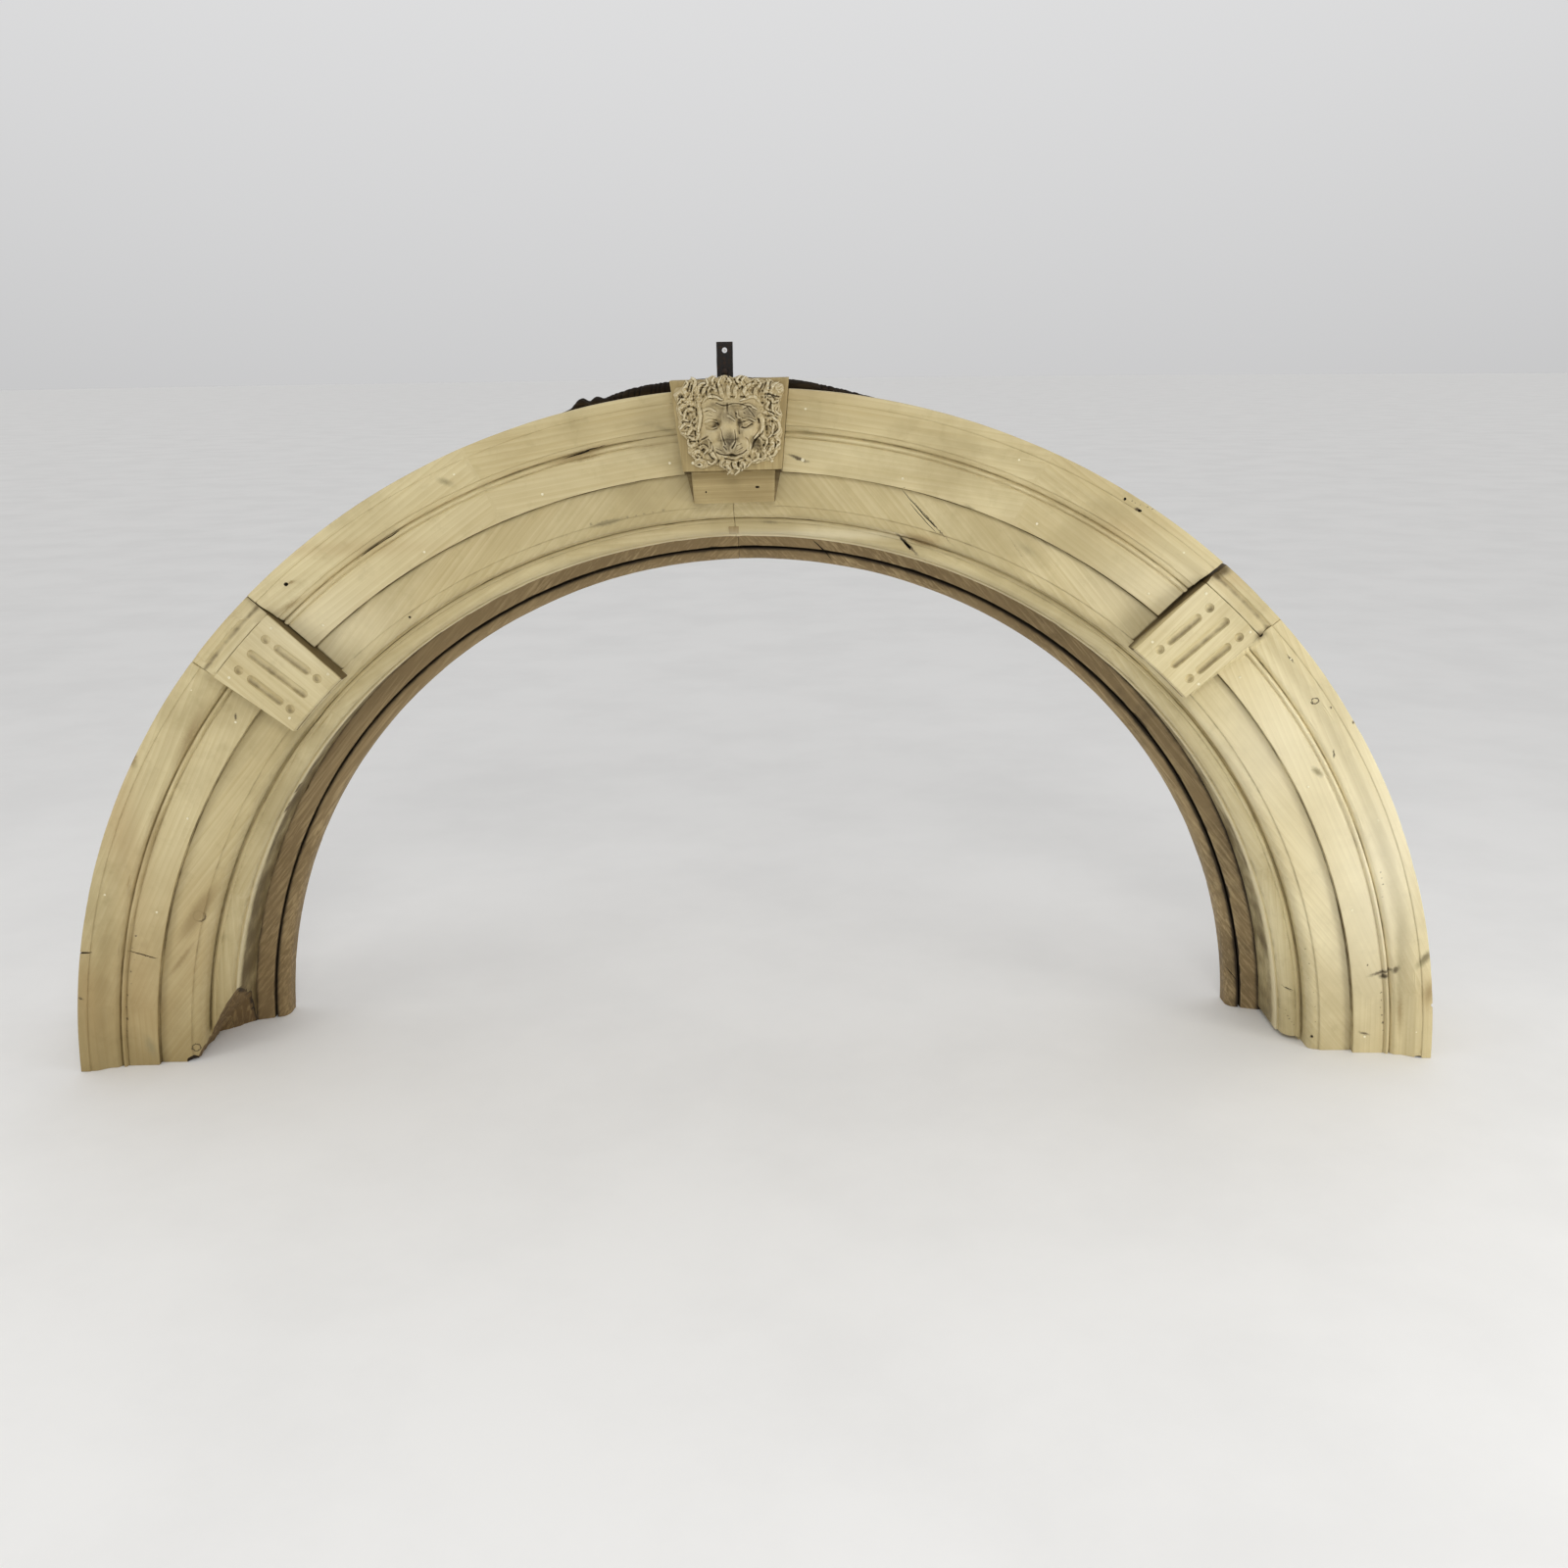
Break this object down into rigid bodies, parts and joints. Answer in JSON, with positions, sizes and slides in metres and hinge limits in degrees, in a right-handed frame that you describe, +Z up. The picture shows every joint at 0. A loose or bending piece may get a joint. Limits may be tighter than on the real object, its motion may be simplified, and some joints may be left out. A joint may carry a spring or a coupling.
{
  "type": "carved wooden arch",
  "caption": "Half-round moulded pine arch with a carved lion-mask keystone, fluted side blocks, a broken left foot and an iron hanging strap.",
  "frame": {"origin": "on the floor between the two feet, in the middle of the depth of the whole part", "axes": "+Z up through the keystone, +X to the right foot as seen from the carved face, +Y away from the carved face"},
  "size_m": [2.1992, 0.3222, 1.1345],
  "materials": {
    "pine": "bleached, waxed, worn",
    "carved_pine": "bleached, carved, with dirt in the hollows",
    "brown_wood": "raw, rough",
    "dark_carving": "old dark stain",
    "iron": "black, worn"
  },
  "bodies": {
    "root": {"crown_lower_left": "pine", "crown_upper_left": "pine", "crown_upper_right": "pine", "crown_lower_right": "pine", "fascia_ring_left": "pine", "fascia_ring_right": "pine", "inner_moulding_left": "pine", "inner_moulding_right": "pine", "back_ring_left": "brown_wood", "back_ring_right": "brown_wood", "fluted_plate_left": "pine", "fluted_plate_right": "pine", "block_cap_left": "pine", "block_cap_right": "pine", "keystone_plate": "pine", "keystone_lower_block": "pine", "lion_mask": "carved_pine", "joint_patch": "pine", "carved_crest": "dark_carving", "hanging_strap": "iron"}
  },
  "joints": []
}
